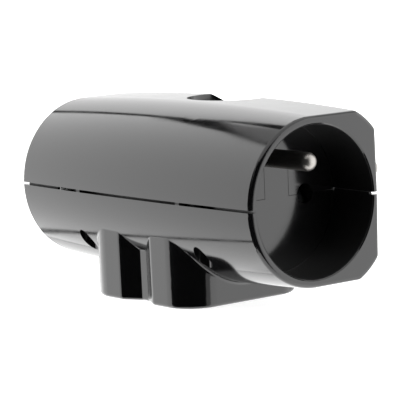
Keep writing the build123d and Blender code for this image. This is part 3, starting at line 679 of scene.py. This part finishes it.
class ADAPTER_OT_studio(bpy.types.Operator):
    """Camera, softboxes, pale floor and dark tent."""

    bl_idname = "adapter.studio"
    bl_label = "Studio"

    def execute(self, context):
        studio = context.scene.adapter_studio
        context.scene.view_settings.view_transform = "Standard"
        self.camera(context, studio)
        self.world(context, studio)
        self.floor(context)
        self.tent()
        self.softboxes(context, studio)
        self.card()
        return {"FINISHED"}

    def camera(self, context, studio):
        """The photo's camera."""
        data = bpy.data.cameras.new("camera")
        data.lens = studio.lens
        data.sensor_width = CAMERA_FRAME
        data.clip_start, data.clip_end = CAMERA_NEAR, CAMERA_FAR
        camera = bpy.data.objects.new("camera", data)
        context.scene.collection.objects.link(camera)
        context.scene.camera = camera
        level_reach = math.cos(studio.elevation)
        back = Vector((
            math.sin(studio.azimuth) * level_reach,
            -math.cos(studio.azimuth) * level_reach,
            math.sin(studio.elevation),
        ))
        level = back.to_track_quat("Z", "Y").to_matrix()
        turned = level @ Matrix.Rotation(studio.roll, 3, "Z")
        camera.matrix_world = Matrix.Translation(studio.place) @ turned.to_4x4()

    def world(self, context, studio):
        """White all round for the camera and the gloss, and a weaker light on what is matt."""
        world = bpy.data.worlds.new("studio")
        context.scene.world = world
        world.use_nodes = True
        tree = world.node_tree
        tree.nodes.clear()
        seen = self.seen_directly(tree)
        strength = add_node(
            tree, "ShaderNodeMapRange", {"To Min": studio.ambient, "To Max": 1.0}, {"Value": seen}
        )
        background = add_node(
            tree, "ShaderNodeBackground", {"Color": (1, 1, 1, 1)}, {"Strength": strength.outputs[0]}
        )
        add_node(tree, "ShaderNodeOutputWorld", links={"Surface": background.outputs["Background"]})

    def seen_directly(self, tree):
        """1 on camera, glossy and transmission rays, and 0 on the others."""
        path = add_node(tree, "ShaderNodeLightPath")
        found = path.outputs["Is Camera Ray"]
        for name in ("Is Glossy Ray", "Is Transmission Ray"):
            found = add_node(
                tree, "ShaderNodeMath", links={0: found, 1: path.outputs[name]}, operation="MAXIMUM"
            ).outputs[0]
        return found

    def floor(self, context):
        """White floor that glows in its own shadows."""
        deselect()
        bpy.ops.mesh.primitive_circle_add(vertices=96, radius=FLOOR_RADIUS, fill_type="NGON")
        floor = active("floor")
        floor.location.z = -FLOOR_DROP
        settle(floor)
        material, tree, _ = new_material("matt_white_paint")
        seen = self.seen_directly(tree)
        glow = add_node(
            tree, "ShaderNodeMath", {1: context.scene.adapter_studio.floor_glow}, {0: seen},
            operation="MULTIPLY",
        )
        finish_material(
            tree, {"Base Color": colour("EDEDED"), "Roughness": 0.9, "Emission Color": (1, 1, 1, 1)},
            {"Emission Strength": glow.outputs[0]},
        )
        floor.data.materials.append(material)
        # In the photo the gloss shows only softboxes, even below the horizon, so the floor isn't reflected.
        floor.visible_glossy = False
        floor.visible_shadow = False

    def tent(self):
        """Black velvet tent round the whole set, with a window for each light."""
        deselect()
        bpy.ops.mesh.primitive_uv_sphere_add(segments=96, ring_count=48, radius=TENT_RADIUS)
        tent = active("black_tent")
        cloth = tent.modifiers.new("cloth", "SOLIDIFY")
        cloth.thickness = TENT_CLOTH
        bpy.ops.object.modifier_apply(modifier=cloth.name)
        for edges in WINDOWS:
            self.cut_window(tent, edges)
        self.open_ends(tent)
        material, tree, _ = new_material("black_velvet")
        finish_material(
            tree, {"Base Color": colour("020202"), "Roughness": 1.0, "Specular IOR Level": 0.0}, {}
        )
        tent.data.materials.clear()
        tent.data.materials.append(material)
        tent.visible_camera = False

    def open_ends(self, tent):
        """Takes off the tent's top and its foot."""
        deselect()
        tent.select_set(True)
        bpy.context.view_layer.objects.active = tent
        bpy.ops.object.mode_set(mode="EDIT")
        for angle, up in ((TENT_TOP, 1), (TENT_FOOT, -1)):
            height = TENT_RADIUS * math.sin(math.radians(angle))
            bpy.ops.mesh.select_all(action="SELECT")
            bpy.ops.mesh.bisect(plane_co=(0, 0, height), plane_no=(0, 0, up), clear_outer=True)
        bpy.ops.object.mode_set(mode="OBJECT")

    def cut_window(self, tent, edges):
        """Cuts one window out of the tent with a block that widens away from the adapter."""
        deselect()
        bpy.ops.mesh.primitive_cube_add(size=2)
        cutter = bpy.context.active_object
        for vertex in cutter.data.vertices:
            distance = TENT_RADIUS * (CUT_TO if vertex.co.z > 0 else CUT_FROM)
            upper = edges[5] if vertex.co.x > 0 else edges[4]
            place_corner(vertex, (*edges[:4], upper), distance)
        cutter.matrix_world = faced(edges)
        cut = tent.modifiers.new("window", "BOOLEAN")
        cut.operation, cut.object, cut.solver = "DIFFERENCE", cutter, "EXACT"
        bpy.context.view_layer.objects.active = tent
        bpy.ops.object.modifier_apply(modifier=cut.name)
        bpy.data.objects.remove(cutter)

    def softboxes(self, context, studio):
        """Lamps behind the tent's windows."""
        for name, edges, share in LAMPS:
            low, high = spread(edges, LAMP_DISTANCE)
            middle = (low + high) / 2
            place = faced(edges) @ Matrix.Translation((middle.x, middle.y, LAMP_DISTANCE))
            self.lamp(context, name, high - low, studio.softbox * share, place)
        for name, height, width, share in LEVEL_LAMPS:
            turn = Matrix.Rotation(0 if height > 0 else math.pi, 4, "X")
            place = Matrix.Translation((0, 0, height)) @ turn
            self.lamp(context, name, Vector((width, width)), studio.softbox * share, place)

    def lamp(self, context, name, size, brightness, place):
        """Rectangular lamp of even brightness."""
        data = bpy.data.lights.new(name, "AREA")
        data.shape = "RECTANGLE"
        data.size, data.size_y = size
        data.energy = brightness * LAMP_POWER * size.x * size.y
        lamp = bpy.data.objects.new(name, data)
        lamp.visible_camera = False
        context.scene.collection.objects.link(lamp)
        lamp.matrix_world = place

    def card(self):
        """Card behind the rear window that glows with painted light, brighter towards its top and a little
        towards its foot, as if lit from above and a little from below.
        """
        deselect()
        bpy.ops.mesh.primitive_plane_add(size=2)
        card = active("glowing_card")
        for vertex in card.data.vertices:
            place_corner(vertex, CARD, LAMP_DISTANCE)
        card.matrix_world = faced(CARD)
        settle(card)
        material, tree, place = new_material("card_painted_glow")
        height = add_node(tree, "ShaderNodeSeparateXYZ", links={0: place}).outputs["Z"]
        above, below = (
            add_node(tree, "ShaderNodeMapRange", heights, {"Value": height}).outputs[0]
            for heights in CARD_GLOWS
        )
        glow = add_node(tree, "ShaderNodeMath", links={0: above, 1: below}, operation="ADD")
        # The emission is painted light: it stands for the light of lamps above and below falling on the
        # card.
        finish_material(
            tree, {"Base Color": colour("000000"), "Roughness": 1.0, "Specular IOR Level": 0.0,
                   "Emission Color": (1, 1, 1, 1)},
            {"Emission Strength": glow.outputs[0]},
        )
        card.data.materials.append(material)
        card.visible_camera = False


class ADAPTER_PT_panel(bpy.types.Panel):
    """Steps and settings of the adapter's looks."""

    bl_idname = "ADAPTER_PT_panel"
    bl_label = "Plug adapter"
    bl_space_type = "VIEW_3D"
    bl_region_type = "UI"
    bl_category = "Adapter"

    def draw(self, context):
        for step in STEPS:
            self.layout.operator(step.bl_idname)
        for group in GROUPS:
            settings = getattr(context.scene, group)
            for name in settings.__annotations__:
                self.layout.prop(settings, name)


GROUPS = {
    "adapter_finish": FinishSettings,
    "adapter_springs": SpringSettings,
    "adapter_studio": StudioSettings,
}
STEPS = (
    ADAPTER_OT_shells,
    ADAPTER_OT_pins,
    ADAPTER_OT_contacts,
    ADAPTER_OT_shutters,
    ADAPTER_OT_springs,
    ADAPTER_OT_screws,
    ADAPTER_OT_studio,
)
CLASSES = (*GROUPS.values(), *STEPS, ADAPTER_PT_panel)


def register():
    """Adds the classes and the scene's settings."""
    for cls in CLASSES:
        bpy.utils.register_class(cls)
    for name, group in GROUPS.items():
        setattr(bpy.types.Scene, name, bpy.props.PointerProperty(type=group))


def unregister():
    """Removes what register adds."""
    for name in GROUPS:
        delattr(bpy.types.Scene, name)
    for cls in reversed(CLASSES):
        bpy.utils.unregister_class(cls)


def main():
    """Builds the looks and the studio."""
    register()
    for step in STEPS:
        area, name = step.bl_idname.split(".")
        getattr(getattr(bpy.ops, area), name)()


if __name__ == "__main__":
    main()
